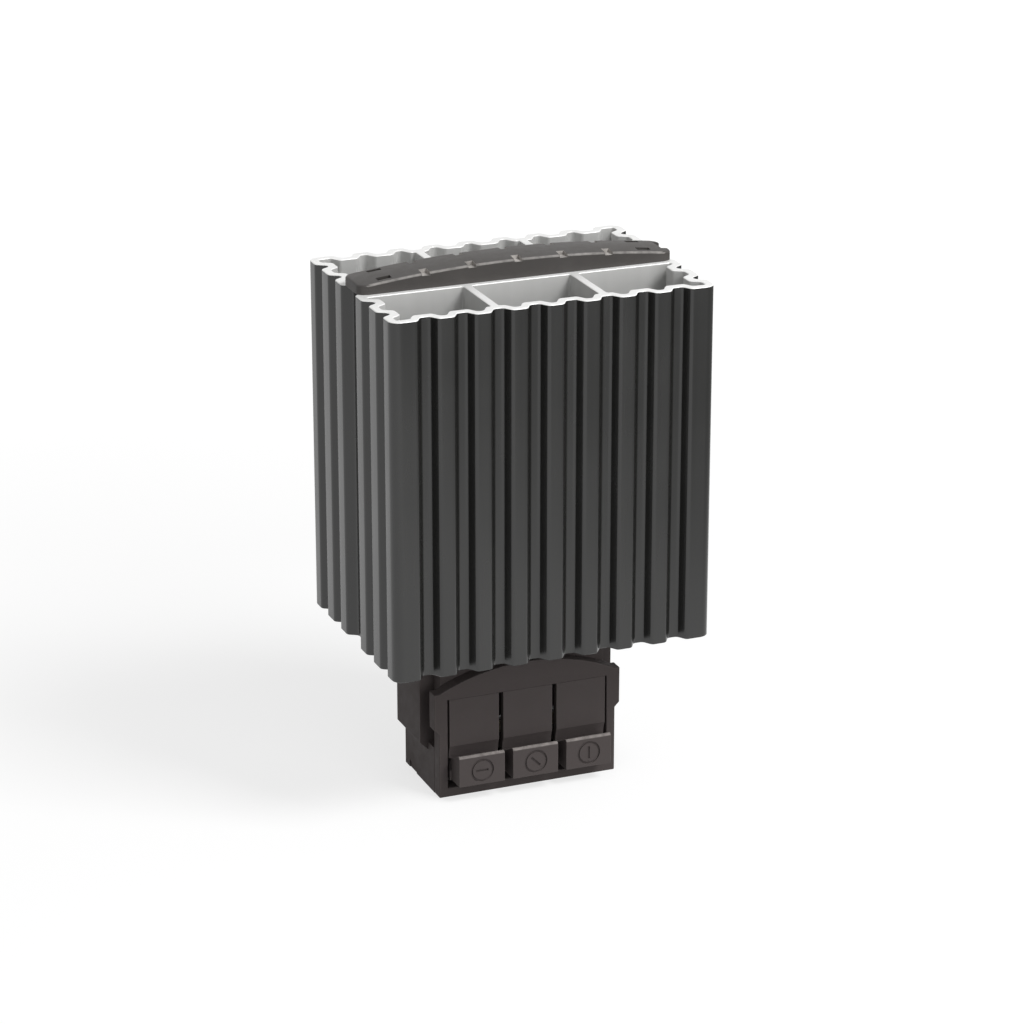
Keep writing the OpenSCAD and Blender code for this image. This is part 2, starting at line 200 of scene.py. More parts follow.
@dataclass
class Effects:
    """The shader node groups that the finishes share, each built once.

    Attributes:
        stretch: scale of each texture's marks along X, Y and Z.
        fine_detail: detail of the fine marks.
        broad_detail: detail of the broad marks and of the clouds.
        broad_share: scale of the broad marks, as a share of the fine ones' scale.
        cloud_scale: scale of the clouds, per metre.
        tone_range: sums of broad marks and clouds between which the tone rises from 0 to 1.
        patch_scale: scale of the patches that break up the edge wear and the painted highlights, per metre.
        patch_detail: detail of the patches.
        patch_range: strengths of the patches between which the edge wear and the painted highlights rise to
            their full amount.
        patch_low: share of the edge wear and the painted highlights between the patches.
        marks: the group of each texture's marks.
        wear_and_highlight: the group of edge wear and painted highlights.
    """

    stretch: dict[Texture, Place] = field(default_factory=lambda: {
        Texture.MOULDED: (1.0, 1.0, 1.0),
        Texture.DRAWN: (1.0, 1.0, 0.006),
        Texture.SAWN: (0.03, 1.0, 1.0),
        Texture.ROLLED: (1.0, 1.0, 0.02),
    })
    fine_detail: float = 3.0
    broad_detail: float = 2.0
    broad_share: float = 0.12
    cloud_scale: float = 45.0
    tone_range: Span = (0.72, 1.28)
    patch_scale: float = 700.0
    patch_detail: float = 4.0
    patch_range: Span = (0.3, 0.7)
    patch_low: float = 0.35
    marks: dict[Texture, bpy.types.NodeTree] = field(init=False)
    wear_and_highlight: bpy.types.NodeTree = field(init=False)

    def __post_init__(self) -> None:
        """Builds the groups."""
        self.marks = {texture: self._marks(texture) for texture in Texture}
        self.wear_and_highlight = self._edge_wear_and_highlight()

    @staticmethod
    def _group(
        name: str, given: str, results: Sequence[str],
    ) -> tuple[NodeSketch, bpy.types.NodeSocket, dict[str, bpy.types.NodeSocket]]:
        """Starts a node group.

        Args:
            name: the group's name.
            given: the name of its input.
            results: the names of its outputs.

        Returns:
            The sketch of its tree, the socket that carries its input, and those that take its outputs.
        """
        tree = bpy.data.node_groups.new(name, "ShaderNodeTree")
        sketch = NodeSketch(tree)
        tree.interface.new_socket(given, in_out="INPUT", socket_type="NodeSocketFloat")
        for label in results:
            tree.interface.new_socket(label, in_out="OUTPUT", socket_type="NodeSocketFloat")
        start = sketch.add("NodeGroupInput")
        end = sketch.add("NodeGroupOutput")
        return sketch, start.outputs[given], {label: end.inputs[label] for label in results}

    def _marks(self, texture: Texture) -> bpy.types.NodeTree:
        """Builds a group of fine marks that are drawn out along one axis.

        Args:
            texture: how the surface was made.

        Returns:
            The group, with input Fineness and outputs Height and Tone.
        """
        sketch, fineness, result = self._group(texture.value, "Fineness", ("Height", "Tone"))
        place = sketch.add("TexCoord").outputs["Object"]
        drawn = sketch.add("Mapping", {"Vector": place, "Scale": self.stretch[texture]}).outputs["Vector"]
        fine = sketch.add("TexNoise", {"Vector": drawn, "Scale": fineness, "Detail": self.fine_detail})
        sketch.set(result["Height"], fine.outputs["Fac"])
        coarse = sketch.math("MULTIPLY", fineness, self.broad_share)
        broad = sketch.add("TexNoise", {"Vector": drawn, "Scale": coarse, "Detail": self.broad_detail})
        cloud = sketch.add(
            "TexNoise", {"Vector": place, "Scale": self.cloud_scale, "Detail": self.broad_detail},
        )
        mixed = sketch.math("ADD", broad.outputs["Fac"], cloud.outputs["Fac"])
        sketch.set(result["Tone"], sketch.ramp(mixed, *self.tone_range, 0.0, 1.0))
        return sketch.tree

    def _edge_wear_and_highlight(self) -> bpy.types.NodeTree:
        """Builds the group that breaks up the edge wear and the painted highlights on rounded edges.

        Returns:
            The group, with input Amount and output Mask.
        """
        sketch, amount, result = self._group("edge_wear_and_highlight", "Amount", ("Mask",))
        place = sketch.add("TexCoord").outputs["Object"]
        edge = sketch.add("Attribute", attribute_name=WEAR_AND_HIGHLIGHT).outputs["Fac"]
        patch = sketch.add(
            "TexNoise", {"Vector": place, "Scale": self.patch_scale, "Detail": self.patch_detail},
        )
        broken = sketch.ramp(patch.outputs["Fac"], *self.patch_range, self.patch_low, 1.0)
        worn_and_lit = sketch.math("MULTIPLY", edge, broken)
        sketch.set(result["Mask"], sketch.math("MULTIPLY", worn_and_lit, amount))
        return sketch.tree


@dataclass(frozen=True)
class Finish:
    """A surface finish.

    Attributes:
        name: the material's name.
        colour: colour of most of the surface.
        accent: colour that its marks and clouds turn to.
        worn_and_lit: colour of its rounded edges, for edge wear and for painted highlights.
        roughness: roughness where the marks are low and high.
        texture: how the surface was made.
        fineness: scale of its marks, per metre.
        depth: height of its marks in millimetres.
        metallic: share of bare metal.
        wear_and_highlight: how strongly the worn edges and the painted highlights show.
        ior: index of refraction, which sets how strongly the surface mirrors.
    """

    name: str
    colour: Colour
    accent: Colour
    worn_and_lit: Colour
    roughness: Span
    texture: Texture
    fineness: float
    depth: float
    metallic: float = 0.0
    wear_and_highlight: float = 0.5
    ior: float = 1.5

    def build(self, effects: Effects) -> bpy.types.Material:
        """Makes the finish's material.

        Args:
            effects: the shared node groups.

        Returns:
            The new material.
        """
        material = bpy.data.materials.new(self.name)
        material.use_nodes = True
        sketch = NodeSketch(material.node_tree)
        marks = sketch.add("Group", node_tree=effects.marks[self.texture])
        sketch.set(marks.inputs["Fineness"], self.fineness)
        wear_and_highlight = sketch.add("Group", node_tree=effects.wear_and_highlight)
        sketch.set(wear_and_highlight.inputs["Amount"], self.wear_and_highlight)
        toned = sketch.blend(marks.outputs["Tone"], rgba(self.colour), rgba(self.accent))
        bump = sketch.add("Bump", {"Height": marks.outputs["Height"], "Distance": self.depth * MM})
        shader = sketch.add("BsdfPrincipled", {
            # Where the mask is high the colour turns lighter: edge wear, and a painted highlight on the cap
            # and the keys
            "Base Color": sketch.blend(wear_and_highlight.outputs["Mask"], toned, rgba(self.worn_and_lit)),
            "Roughness": sketch.ramp(marks.outputs["Tone"], 0.0, 1.0, *self.roughness),
            "Metallic": self.metallic,
            "IOR": self.ior,
            "Normal": bump.outputs["Normal"],
        })
        sketch.add("OutputMaterial", {"Surface": shader.outputs["BSDF"]})
        return material


FINISHES = (
    Finish(
        "anodised_charcoal", colour=(0.0095, 0.0095, 0.0087), accent=(0.0125, 0.0125, 0.0115),
        worn_and_lit=(0.030, 0.030, 0.028), roughness=(0.22, 0.30), texture=Texture.DRAWN,
        fineness=2600.0, depth=0.010, ior=1.66,
    ),
    Finish(
        "sawn_aluminium", colour=(0.93, 0.93, 0.92), accent=(0.86, 0.86, 0.85),
        worn_and_lit=(0.95, 0.95, 0.94), roughness=(0.38, 0.52), texture=Texture.SAWN,
        fineness=2200.0, depth=0.02, metallic=0.2,
    ),
    Finish(
        "natural_aluminium", colour=(0.63, 0.63, 0.62), accent=(0.56, 0.56, 0.55),
        worn_and_lit=(0.85, 0.85, 0.84), roughness=(0.42, 0.55), texture=Texture.DRAWN,
        fineness=1800.0, depth=0.012, metallic=0.2,
    ),
    Finish(
        "cap_moulding", colour=(0.041, 0.037, 0.0345), accent=(0.0485, 0.0435, 0.0400),
        # The light edge colour is a painted highlight on the cap's long edges and in its notches
        worn_and_lit=(0.62, 0.59, 0.56), roughness=(0.50, 0.62), texture=Texture.MOULDED,
        fineness=5200.0, depth=0.012, wear_and_highlight=0.85,
    ),
    Finish(
        "housing_moulding", colour=(0.064, 0.053, 0.052), accent=(0.073, 0.061, 0.059),
        worn_and_lit=(0.105, 0.092, 0.088), roughness=(0.66, 0.80), texture=Texture.MOULDED,
        fineness=5200.0, depth=0.012, ior=1.35,
    ),
    Finish(
        "key_moulding", colour=(0.064, 0.053, 0.052), accent=(0.073, 0.061, 0.059),
        # The light edge colour is a painted highlight on the keys' ridges and rounded edges
        worn_and_lit=(0.34, 0.31, 0.295), roughness=(0.66, 0.80), texture=Texture.MOULDED,
        fineness=5200.0, depth=0.012, wear_and_highlight=0.8, ior=1.4,
    ),
    Finish(
        "spring_strip", colour=(0.55, 0.56, 0.57), accent=(0.46, 0.47, 0.48),
        worn_and_lit=(0.70, 0.71, 0.72), roughness=(0.22, 0.36), texture=Texture.ROLLED,
        fineness=2400.0, depth=0.008, metallic=1.0,
    ),
    Finish(
        "tinned_brass", colour=(0.62, 0.55, 0.38), accent=(0.68, 0.64, 0.52),
        worn_and_lit=(0.75, 0.72, 0.65), roughness=(0.25, 0.38), texture=Texture.ROLLED,
        fineness=2000.0, depth=0.008, metallic=1.0,
    ),
    Finish(
        "rolled_aluminium", colour=(0.66, 0.67, 0.68), accent=(0.58, 0.59, 0.60),
        worn_and_lit=(0.75, 0.76, 0.77), roughness=(0.25, 0.40), texture=Texture.ROLLED,
        fineness=2200.0, depth=0.008, metallic=1.0,
    ),
    Finish(
        "fired_ceramic", colour=(0.15, 0.13, 0.12), accent=(0.20, 0.18, 0.16),
        worn_and_lit=(0.24, 0.22, 0.20), roughness=(0.55, 0.75), texture=Texture.MOULDED,
        fineness=2600.0, depth=0.02,
    ),
    Finish(
        "frame_moulding", colour=(0.72, 0.69, 0.61), accent=(0.66, 0.63, 0.55),
        worn_and_lit=(0.80, 0.77, 0.70), roughness=(0.40, 0.52), texture=Texture.MOULDED,
        fineness=4000.0, depth=0.012,
    ),
    Finish(
        "amber_film", colour=(0.50, 0.23, 0.03), accent=(0.58, 0.30, 0.06),
        worn_and_lit=(0.62, 0.34, 0.10), roughness=(0.16, 0.24), texture=Texture.ROLLED,
        fineness=1200.0, depth=0.006,
    ),
)


@dataclass(frozen=True)
class Rounding:
    """A rounded edge or corner.

    Attributes:
        radius: offset of the bevel.
        steps: faces across it.
    """

    radius: float
    steps: int = 3


def worn_and_lit_edges(bm: BMesh, choose: Callable[[BMEdge], bool], rounding: Rounding, share: float) -> None:
    """Rounds edges and marks the new faces in the layer of edge wear and painted highlights, which is made
    here.

    Args:
        bm: the mesh.
        choose: tells whether an edge is rounded.
        rounding: the edges' rounding.
        share: how strongly the new faces take the colour of edge wear and painted highlights, from 0 to 1.
    """
    wear_and_highlight = bm.faces.layers.float.new(WEAR_AND_HIGHLIGHT)
    made = bmesh.ops.bevel(
        bm, geom=[e for e in bm.edges if choose(e)], offset=rounding.radius * MM, offset_type="OFFSET",
        segments=rounding.steps, profile=0.5, affect="EDGES", clamp_overlap=True, loop_slide=True,
        material=-1,
    )
    for f in made["faces"]:
        f[wear_and_highlight] = share


def round_corners(bm: BMesh, verts: Iterable[BMVert], rounding: Rounding) -> None:
    """Rounds the corners of flat outlines.

    Args:
        bm: the mesh.
        verts: the corners.
        rounding: their rounding.
    """
    bmesh.ops.bevel(
        bm, geom=list(verts), offset=rounding.radius * MM, segments=rounding.steps, profile=0.5,
        affect="VERTICES", clamp_overlap=True, material=-1,
    )


def make_object(bm: BMesh, name: str, materials: Iterable[bpy.types.Material]) -> bpy.types.Object:
    """Turns a bmesh into an object at the origin, with smooth shading.

    Args:
        bm: the mesh, freed here.
        name: the object's name.
        materials: its materials, in the order of the faces' indices.

    Returns:
        The new object.
    """
    mesh = bpy.data.meshes.new(name)
    bm.to_mesh(mesh)
    bm.free()
    mesh.shade_smooth()
    mesh.set_sharp_from_angle(angle=SMOOTH)
    for material in materials:
        mesh.materials.append(material)
    obj = bpy.data.objects.new(name, mesh)
    bpy.context.scene.collection.objects.link(obj)
    return obj


def even_normals(obj: bpy.types.Object) -> None:
    """Keeps the large faces of a piece flat between their rounded edges."""
    weighted = obj.modifiers.new("even_normals", "WEIGHTED_NORMAL")
    weighted.keep_sharp = True


def add_block(bm: BMesh, low: Sequence[float], high: Sequence[float]) -> list[BMVert]:
    """Adds a block.

    Args:
        bm: the mesh.
        low: the block's lower corner in millimetres.
        high: its upper corner in millimetres.

    Returns:
        The block's points.
    """
    size = Vector(high) - Vector(low)
    verts = bmesh.ops.create_cube(bm, size=MM)["verts"]
    bmesh.ops.scale(bm, verts=verts, vec=size)
    bmesh.ops.translate(bm, verts=verts, vec=(Vector(low) + size / 2) * MM)
    return verts


def combined(solid: BMesh, other: BMesh, how: Combine) -> BMesh:
    """Makes one solid of two.

    Args:
        solid: the first solid, freed here.
        other: the solid that is cut out of it or joined to it, freed here.
        how: cut or join.

    Returns:
        The new solid.
    """
    body, tool = (make_object(bm, "half_made", ()) for bm in (solid, other))
    boolean = body.modifiers.new("combine", "BOOLEAN")
    boolean.operation = how.value
    boolean.solver = "EXACT"
    boolean.object = tool
    made = bmesh.new()
    made.from_object(body, bpy.context.evaluated_depsgraph_get())
    for obj in (body, tool):
        bpy.data.meshes.remove(obj.data)
    return made


def seat(obj: bpy.types.Object, body: str, node: str) -> None:
    """Lets a piece ride on a body and stand for a node of the frame.

    Args:
        obj: the piece.
        body: the body that carries it.
        node: the node that it replaces.
    """
    even_normals(obj)
    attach(obj, body)
    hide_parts(node)
    LOG.info("%s rides on %s, %d faces", obj.name, body, len(obj.data.polygons))


@dataclass
class Extrusion:
    """The fluted heatsink, drawn as a section and pulled up to its length.

    Attributes:
        lobes: lobes on each wide face.
        chambers: chambers in front of the channel, and as many behind it.
        flute_depth: depth of a flute.
        flute_floor: width of a flute's floor on the wide faces.
        groove_floor: width of a groove's floor on the narrow sides.
        recess_floor: width of the middle recess on the narrow sides.
        flank: width of a flute's flank.
        groove_places: distances of the side grooves from the middle.
        wall: thickness of the outer wall.
        web: thickness of the webs beside the channel.
        divider: thickness of the walls between chambers.
        channel: width of the middle channel.
        corner: rounding of the outer corners.
        lip: rounding of the lobes and flutes on the wide faces.
        groove: rounding of the lobes and grooves on the narrow sides.
        fillet: rounding of the corners inside.
        end_chamfer: chamfer of the sawn ends.
        sawn_above: faces whose normal rises by more than this are sawn, with the chamfer at the top.
        sawn_below: faces whose normal rises by less than this are sawn, without the chamfer at the bottom.
        low: lower corner of the frame's heatsink.
        high: upper corner of the frame's heatsink.
    """

    lobes: int = 9
    chambers: int = 3
    flute_depth: float = 2.1
    flute_floor: float = 2.0
    groove_floor: float = 1.2
    recess_floor: float = 5.5
    flank: float = 1.3
    groove_places: Span = (10.0, 18.2)
    wall: float = 1.75
    web: float = 2.2
    divider: float = 1.75
    channel: float = 8.0
    corner: Rounding = Rounding(2.2, 6)
    lip: Rounding = Rounding(0.5, 4)
    groove: Rounding = Rounding(0.55)
    fillet: Rounding = Rounding(0.5)
    end_chamfer: float = 0.12
    sawn_above: float = 0.1
    sawn_below: float = -0.9
    low: Vector = field(default_factory=lambda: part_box("heatsink")[0] / MM)
    high: Vector = field(default_factory=lambda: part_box("heatsink")[1] / MM)

    @property
    def width(self) -> float:
        """Width of the section."""
        return self.high.x - self.low.x

    @property
    def depth(self) -> float:
        """Depth of the section."""
        return self.high.y - self.low.y

    @property
    def pitch(self) -> float:
        """Distance between two lobes."""
        return self.width / self.lobes

    def _flute(self, place: float, floor: float) -> list[Point]:
        """Draws one flute along an edge.

        Args:
            place: the flute's middle, along the edge.
            floor: width of its floor.

        Returns:
            Its four points, each a place along the edge and a depth below it.
        """
        half = floor / 2
        return [
            (place - half - self.flank, 0.0), (place - half, self.flute_depth),
            (place + half, self.flute_depth), (place + half + self.flank, 0.0),
        ]

    def _edges(self) -> tuple[list[Point], list[Point]]:
        """Draws the edges of the section.

        Returns:
            The points of the flutes along a wide face, and of those along a narrow side.
        """
        face = [
            point for i in range(1, self.lobes)
            for point in self._flute(i * self.pitch - self.width / 2, self.flute_floor)
        ]
        inner, outer = self.groove_places
        grooves = (
            (-outer, self.groove_floor), (-inner, self.groove_floor), (0.0, self.recess_floor),
            (inner, self.groove_floor), (outer, self.groove_floor),
        )
        side = [point for place, floor in grooves for point in self._flute(place, floor)]
        return face, side

    def _outline(self) -> list[Point]:
        """Draws the outer outline with sharp corners.

        Returns:
            Its points, starting at the front left.
        """
        face, side = self._edges()
        x, y = self.width / 2, self.depth / 2
        return [
            (-x, -y), *((s, d - y) for s, d in face),
            (x, -y), *((x - d, s) for s, d in side),
            (x, y), *((-s, y - d) for s, d in face),
            (-x, y), *((d - x, -s) for s, d in side),
        ]

    @staticmethod
    def _draw(bm: BMesh, outline: Iterable[Point]) -> BMFace:
        """Draws an outline as one face.

        Args:
            bm: the mesh.
            outline: its points in millimetres.

        Returns:
            The new face.
        """
        face = bm.faces.new([bm.verts.new((x * MM, y * MM, 0.0)) for x, y in outline])
        face.normal_update()
        return face

    @staticmethod
    def _slice(bm: BMesh, point: Place, normal: Place) -> None:
        """Cuts all faces along a plane through a point in millimetres."""
        parts = [*bm.verts, *bm.edges, *bm.faces]
        bmesh.ops.bisect_plane(bm, geom=parts, plane_co=Vector(point) * MM, plane_no=normal, dist=MERGE)

    @staticmethod
    def _drop(bm: BMesh, unwanted: Callable[[Vector], bool]) -> None:
        """Deletes the faces that a test picks by their middle in millimetres."""
        faces = [f for f in bm.faces if unwanted(f.calc_center_bounds() / MM)]
        bmesh.ops.delete(bm, geom=faces, context="FACES")

    def _hollows(self, bm: BMesh) -> None:
        """Leaves the outlines of the channel and of the chambers as edges.

        Args:
            bm: the mesh, empty before.
        """
        outline = self._draw(bm, self._outline())
        rim = bmesh.ops.inset_region(
            bm, faces=[outline], thickness=self.wall * MM, use_even_offset=True, use_boundary=True,
        )
        bmesh.ops.delete(bm, geom=rim["faces"], context="FACES")
        web_outer = self.channel / 2 + self.web
        for y in (-web_outer, web_outer):
            self._slice(bm, (0, y, 0), (0, 1, 0))
        self._drop(bm, lambda middle: abs(middle.y) < web_outer)
        dividers = [(i / self.chambers - 0.5) * self.width for i in range(1, self.chambers)]
        for place in dividers:
            for x in (place - self.divider / 2, place + self.divider / 2):
                self._slice(bm, (x, 0, 0), (1, 0, 0))
        self._drop(bm, lambda middle: min(abs(middle.x - x) for x in dividers) < self.divider / 2)
        x, y = self.width / 2 - self.flute_depth - self.wall, self.channel / 2
        self._draw(bm, ((-x, -y), (x, -y), (x, y), (-x, y)))
        round_corners(bm, bm.verts[:], self.fillet)
        bmesh.ops.delete(bm, geom=bm.faces[:], context="FACES_ONLY")

    def _section(self) -> BMesh:
        """Draws the filled section.

        Returns:
            The section at the height 0, with its outer points marked in a layer named skin.
        """
        bm = bmesh.new()
        self._hollows(bm)
        skin = bm.verts.layers.int.new("skin")
        hollow = set(bm.verts)
        outline = self._draw(bm, self._outline())
        half = Vector((self.width, self.depth)) / 2
        side_y = half.y - self.flute_depth - self.corner.radius
        place_of = {v: Vector(map(abs, v.co.xy / MM)) for v in outline.verts}
        corners = [v for v, place in place_of.items() if (place - half).length < self.corner.radius]
        grooves = [v for v, place in place_of.items() if place.y < side_y]
        lips = [v for v in place_of if v not in corners and v not in grooves]
        for verts, rounding in ((corners, self.corner), (grooves, self.groove), (lips, self.lip)):
            round_corners(bm, verts, rounding)
        bmesh.ops.delete(bm, geom=bm.faces[:], context="FACES_ONLY")
        for v in bm.verts:
            v[skin] = v not in hollow
        bmesh.ops.remove_doubles(bm, verts=bm.verts, dist=MERGE)
        bmesh.ops.triangle_fill(bm, use_beauty=True, edges=bm.edges[:], normal=(0.0, 0.0, 1.0))
        return bm

    def _ease_end(self, bm: BMesh, end_z: float, inward: int) -> None:
        """Chamfers a sawn end.

        Args:
            bm: the mesh.
            end_z: height of the end.
            inward: 1 or -1, the way into the metal.
        """
        z = end_z * MM
        end = [f for f in bm.faces if abs(f.calc_center_median().z - z) < MERGE]
        bmesh.ops.inset_region(
            bm, faces=end, thickness=self.end_chamfer * MM, use_even_offset=True, use_boundary=True,
        )
        ends = [v for v in bm.verts if abs(v.co.z - z) < MERGE]
        rim = [v for v in ends if any(abs(f.normal.z) < FLAT for f in v.link_faces)]
        bmesh.ops.translate(bm, verts=rim, vec=(0, 0, inward * self.end_chamfer * MM))

    def _dress(self, bm: BMesh) -> None:
        """Gives the sawn ends and the hollows their finishes, and leaves the skin as it is.

        Args:
            bm: the mesh.
        """
        skin = bm.verts.layers.int["skin"]
        for f in bm.faces:
            if f.normal.z > self.sawn_above or f.normal.z < self.sawn_below:
                f.material_index = Surface.CUT.value
            elif not all(v[skin] for v in f.verts):
                f.material_index = Surface.BARE.value

    def build(self, finishes: dict[Surface, bpy.types.Material]) -> None:
        """Models the extrusion and seats it.

        Args:
            finishes: the finish of each surface.
        """
        bm = self._section()
        bmesh.ops.translate(bm, verts=bm.verts, vec=(0, 0, self.low.z * MM))
        pulled = bmesh.ops.extrude_face_region(bm, geom=bm.faces[:])
        top = [part for part in pulled["geom"] if isinstance(part, BMVert)]
        bmesh.ops.translate(bm, verts=top, vec=(0, 0, (self.high.z - self.low.z) * MM))
        bmesh.ops.recalc_face_normals(bm, faces=bm.faces)
        bm.normal_update()
        self._ease_end(bm, self.high.z, -1)
        self._ease_end(bm, self.low.z, 1)
        bm.normal_update()
        self._dress(bm)
        obj = make_object(bm, "fluted_extrusion", [finishes[surface] for surface in Surface])
        seat(obj, MAIN_BODY, "heatsink")


@dataclass
class ArchedCap:
    """The moulded cap over the middle channel: an arched bar on a plug.

    Attributes:
        edge_h: height of the bar at its ends.
        rise: how much higher the bar is in its middle.
        crown: how much higher its middle line is than its long edges.
        corner_r: radius of the bar's four corners, seen from above.
        rounding: rounding of the bar's edges.
        bend: edges that bend by more than this, in degrees, are rounded.
        edge_wear_and_highlight: strength of the painted highlight on the long edges, from 0 to 1.
        plug_size: length, width and depth of the plug.
        notches: notches along each long edge.
        notch_pitch: distance between two notches.
        notch: length, width and depth of a notch.
        slit: length, width and depth of a slit.
        slit_inset: distance of a slit from the bar's end.
        slit_rim: distance of a slit from the bar's long edge.
        gap: length and width of the gap in the right end.
        cells: cells along and across the bar's top.
        low: lower corner of the frame's cap.
        high: upper corner of the frame's cap.
        seat_z: height of the extrusion's top, on which the bar lies.
    """

    edge_h: float = 1.75
    rise: float = 2.25
    crown: float = 0.3
    corner_r: float = 2.0
    rounding: Rounding = Rounding(0.4, 4)
    bend: float = 45.0
    edge_wear_and_highlight: float = 0.42
    plug_size: Place = (62.4, 7.6, 5.0)
    notches: int = 5
    notch_pitch: float = 10.0
    notch: Place = (1.7, 2.3, 0.55)
    slit: Place = (3.0, 1.4, 1.5)
    slit_inset: float = 4.5
    slit_rim: float = 1.2
    gap: tuple[float, float] = (1.6, 4.6)
    cells: tuple[int, int] = (56, 24)
    low: Vector = field(default_factory=lambda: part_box("top_cap")[0] / MM)
    high: Vector = field(default_factory=lambda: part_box("top_cap")[1] / MM)
    seat_z: float = field(default_factory=lambda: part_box("heatsink")[1].z / MM)

    @property
    def half_l(self) -> float:
        """Half the bar's length."""
        return (self.high.x - self.low.x) / 2

    @property
    def half_w(self) -> float:
        """Half the bar's width."""
        return (self.high.y - self.low.y) / 2

    def _edge_z(self, x: float) -> float:
        """Height of the long edges at a distance from the bar's middle."""
        arch_r = (self.half_l ** 2 + self.rise ** 2) / (2 * self.rise)
        return self.seat_z + self.edge_h + self.rise - arch_r + math.sqrt(arch_r ** 2 - x ** 2)

    def _end_inset(self, y: float) -> float:
        """How far the rounded ends draw back at a distance from the bar's middle line."""
        past = max(abs(y) - self.half_w + self.corner_r, 0.0)
        return self.corner_r - math.sqrt(max(self.corner_r ** 2 - past ** 2, 0.0))

    def _outer(self, edge: BMEdge) -> bool:
        """Tells whether an edge is one of the bar's own, above its seat."""
        above = max(v.co.z for v in edge.verts) > self.seat_z * MM + MERGE
        return above and edge.calc_face_angle() > math.radians(self.bend)

    def _bar(self) -> BMesh:
        """Makes the arched bar with rounded edges, which carry a painted highlight along its long sides.

        Returns:
            The bar.
        """
        bm = bmesh.new()
        along, across = self.cells
        bmesh.ops.create_grid(bm, x_segments=along, y_segments=across, size=1.0)
        for v in bm.verts:
            y = v.co.y * self.half_w
            x = v.co.x * (self.half_l - self._end_inset(y))
            v.co = Vector((x, y, self._edge_z(x) + self.crown * (1 - v.co.y ** 2))) * MM
        pulled = bmesh.ops.extrude_face_region(bm, geom=bm.faces[:])
        for part in pulled["geom"]:
            if isinstance(part, BMVert):
                part.co.z = self.seat_z * MM
        bmesh.ops.recalc_face_normals(bm, faces=bm.faces)
        # Rounds the bar's edges and paints a highlight on them
        worn_and_lit_edges(bm, self._outer, self.rounding, self.edge_wear_and_highlight)
        wear_and_highlight = bm.faces.layers.float[WEAR_AND_HIGHLIGHT]
        # The ends lose the painted highlight, so only the long edges show a lit line
        for f in bm.faces:
            if abs(f.calc_center_median().x) > (self.half_l - self.corner_r) * MM:
                f[wear_and_highlight] = 0.0
        return bm

    def _plug(self) -> BMesh:
        """Makes the plug, which reaches a little into the bar.

        Returns:
            The plug.
        """
        bm = bmesh.new()
        length, width, depth = self.plug_size
        add_block(
            bm, (-length / 2, -width / 2, self.seat_z - depth),
            (length / 2, width / 2, self.seat_z + self.edge_h / 2),
        )
        return bm

    def _cuts(self) -> BMesh:
        """Makes what is cut out of the bar: the notches, which leave a painted highlight on their faces, the
        slits and the gap.

        Returns:
            The blocks to cut away.
        """
        bm = bmesh.new()
        wear_and_highlight = bm.faces.layers.float.new(WEAR_AND_HIGHLIGHT)
        over = self.high.z + OVERSHOOT
        for side in (-1, 1):
            length, width, depth = self.notch
            y_low, y_high = sorted((side * (self.half_w - width), side * (self.half_w + OVERSHOOT)))
            for i in range(self.notches):
                x = (i - (self.notches - 1) / 2) * self.notch_pitch
                low_z = self._edge_z(x) - depth
                notch = add_block(bm, (x - length / 2, y_low, low_z), (x + length / 2, y_high, over))
                # Paints a highlight on the notch's faces
                for f in {f for v in notch for f in v.link_faces}:
                    f[wear_and_highlight] = 1.0
            length, width, depth = self.slit
            y = side * (self.half_w - self.slit_rim - width / 2)
            for end in (-1, 1):
                x = end * (self.half_l - self.slit_inset - length / 2)
                low_z = self._edge_z(x) - depth
                add_block(bm, (x - length / 2, y - width / 2, low_z), (x + length / 2, y + width / 2, over))
        length, width = self.gap
        add_block(
            bm, (self.half_l - length, -width / 2, self.seat_z), (self.half_l + OVERSHOOT, width / 2, over),
        )
        return bm

    def build(self, material: bpy.types.Material) -> None:
        """Makes the cap and seats it.

        Args:
            material: its finish.
        """
        solid = combined(self._bar(), self._plug(), Combine.JOIN)
        solid = combined(solid, self._cuts(), Combine.CUT)
        obj = make_object(solid, "arched_cap", (material,))
        seat(obj, MAIN_BODY, "top_cap")


